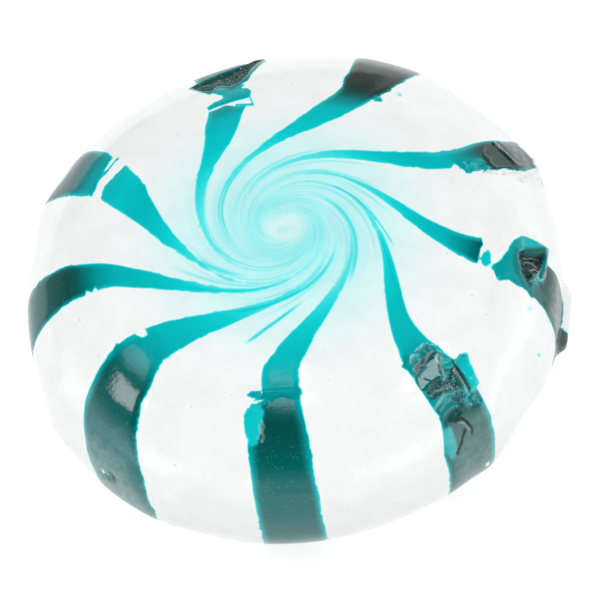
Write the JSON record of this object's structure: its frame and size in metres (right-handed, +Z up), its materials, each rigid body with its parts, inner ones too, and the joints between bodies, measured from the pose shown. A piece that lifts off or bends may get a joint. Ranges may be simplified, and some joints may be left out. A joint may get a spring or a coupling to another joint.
{
  "type": "swirl hard candy",
  "caption": "Round pillow-shaped hard candy, its turquoise stripes twisting together on each face, chipped along the shoulder, lying flat.",
  "frame": {"origin": "on the flat spot that it rests on, under the middle of the outline", "axes": "+Z up through the middles of both faces, +X to the right and +Y away in the picture's view"},
  "size_m": [0.0238, 0.024, 0.0105],
  "materials": {
    "boiled_sugar": "glossy boiled sugar, white with turquoise stripes"
  },
  "bodies": {
    "root": {"candy": "boiled_sugar"}
  },
  "joints": []
}
